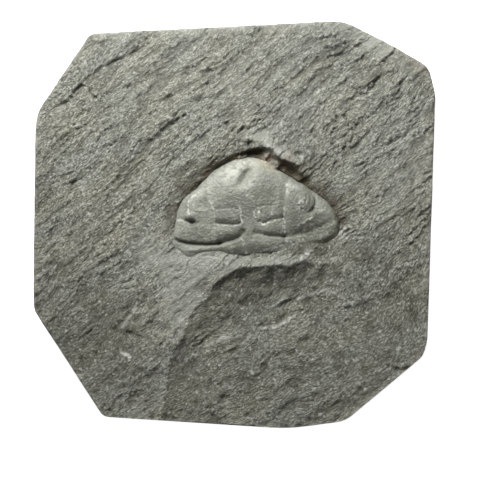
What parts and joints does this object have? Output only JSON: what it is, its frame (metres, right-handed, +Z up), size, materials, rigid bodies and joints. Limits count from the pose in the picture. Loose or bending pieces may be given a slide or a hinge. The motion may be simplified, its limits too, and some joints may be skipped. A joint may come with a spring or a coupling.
{
  "type": "trilobite fossil in slate",
  "caption": "Trimmed slab of grey-green slate with the head shield of a phacopid trilobite standing out of its split face in low relief",
  "frame": {"origin": "middle of the slab's outline, on its flat underside", "axes": "+Z up out of the split face, +Y towards the front of the head shield, +X to its right as seen from above"},
  "size_m": [0.0502, 0.0508, 0.0108],
  "materials": {
    "slate": "rough split face",
    "shield": "smooth, dull sheen"
  },
  "bodies": {
    "root": {"matrix_slab": "slate", "head_shield": "shield"}
  },
  "joints": []
}
